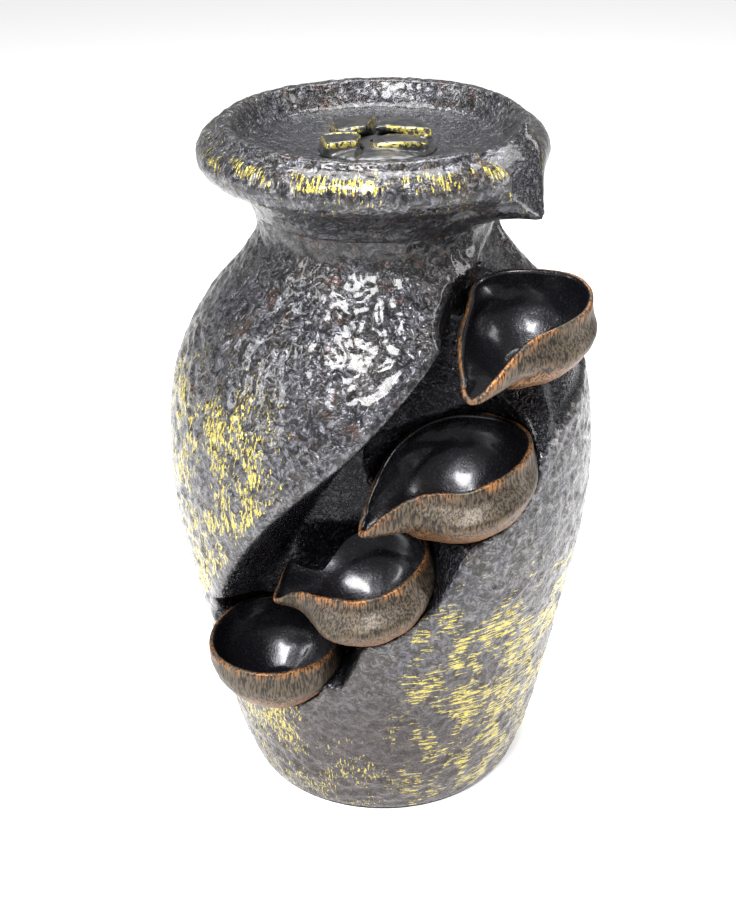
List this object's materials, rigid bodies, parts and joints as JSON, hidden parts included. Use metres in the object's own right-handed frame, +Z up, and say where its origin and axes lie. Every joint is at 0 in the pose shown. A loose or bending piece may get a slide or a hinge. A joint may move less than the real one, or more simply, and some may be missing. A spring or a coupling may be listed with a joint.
{
  "type": "tabletop water fountain",
  "caption": "Tall cast jar with a diagonal niche of pouring cups below a rolled-rim dish; a pump inside lifts water to the dish, whose spout feeds the cups.",
  "frame": {"origin": "centre of the round underside, on the face the fountain rests on", "axes": "+Z up along the jar's axis, -Y towards the front with the cups, +X to the viewer's right"},
  "size_m": [0.185, 0.1955, 0.3002],
  "materials": {
    "cast_resin": "dark pewter paint under clear gloss, hammered texture, yellow-gold dry brushing",
    "cup_resin": "near-black gloss inside, brown with copper brush strokes outside",
    "door_panel": "as the jar",
    "base_panel": "black moulded plastic",
    "foam": "black closed-cell foam",
    "soft_rubber": "black rubber",
    "clear_vinyl": "translucent flexible tube",
    "pump_plastic": "black moulded plastic",
    "rotor_plastic": "white moulded plastic",
    "magnet": "sintered ferrite",
    "axle_ceramic": "polished ceramic rod",
    "steel": "stainless steel",
    "fitting_plastic": "black moulded plastic"
  },
  "bodies": {
    "fountain": {"jar_shell": "cast_resin", "top_dish": "cast_resin", "door_gasket": "soft_rubber", "base_plate": "base_panel", "base_seal": "soft_rubber", "base_pad": "foam", "cord_grommet": "soft_rubber", "bubbler_nozzle": "fitting_plastic", "nozzle_gasket": "soft_rubber", "nozzle_nut": "fitting_plastic", "cup_1_top": "cup_resin", "cup_2_upper": "cup_resin", "cup_3_lower": "cup_resin", "cup_4_bottom": "cup_resin", "pump_housing": "pump_plastic", "chamber_cover": "pump_plastic", "chamber_oring": "soft_rubber", "axle": "axle_ceramic", "axle_bushes": "soft_rubber", "dial_screw": "steel", "intake_strainer": "pump_plastic", "suction_cups": "soft_rubber", "cord_gland": "soft_rubber", "riser_tube": "clear_vinyl", "tube_clamps": "steel"},
    "rotor": {"rotor_magnet": "magnet", "impeller": "rotor_plastic"},
    "dial": {"flow_dial": "pump_plastic"},
    "door": {"service_door": "door_panel"},
    "cap": {"bubbler_cap": "cast_resin"}
  },
  "joints": [
    {"name": "impeller_spin", "type": "hinge", "parent": "fountain", "child": "rotor", "pos_m": [0, 0.0185, 0.033], "axis": [0, 1, 0], "continuous": true},
    {"name": "dial_turn", "type": "hinge", "parent": "fountain", "child": "dial", "pos_m": [0, 0.0423, 0.033], "axis": [0, 1, 0], "range_deg": [0, 30]},
    {"name": "door_pull", "type": "slide", "parent": "fountain", "child": "door", "axis": [0, 1, 0], "range_m": [0, 0.06]},
    {"name": "cap_lift", "type": "slide", "parent": "fountain", "child": "cap", "axis": [0, 0, 1], "range_m": [0, 0.04]}
  ]
}
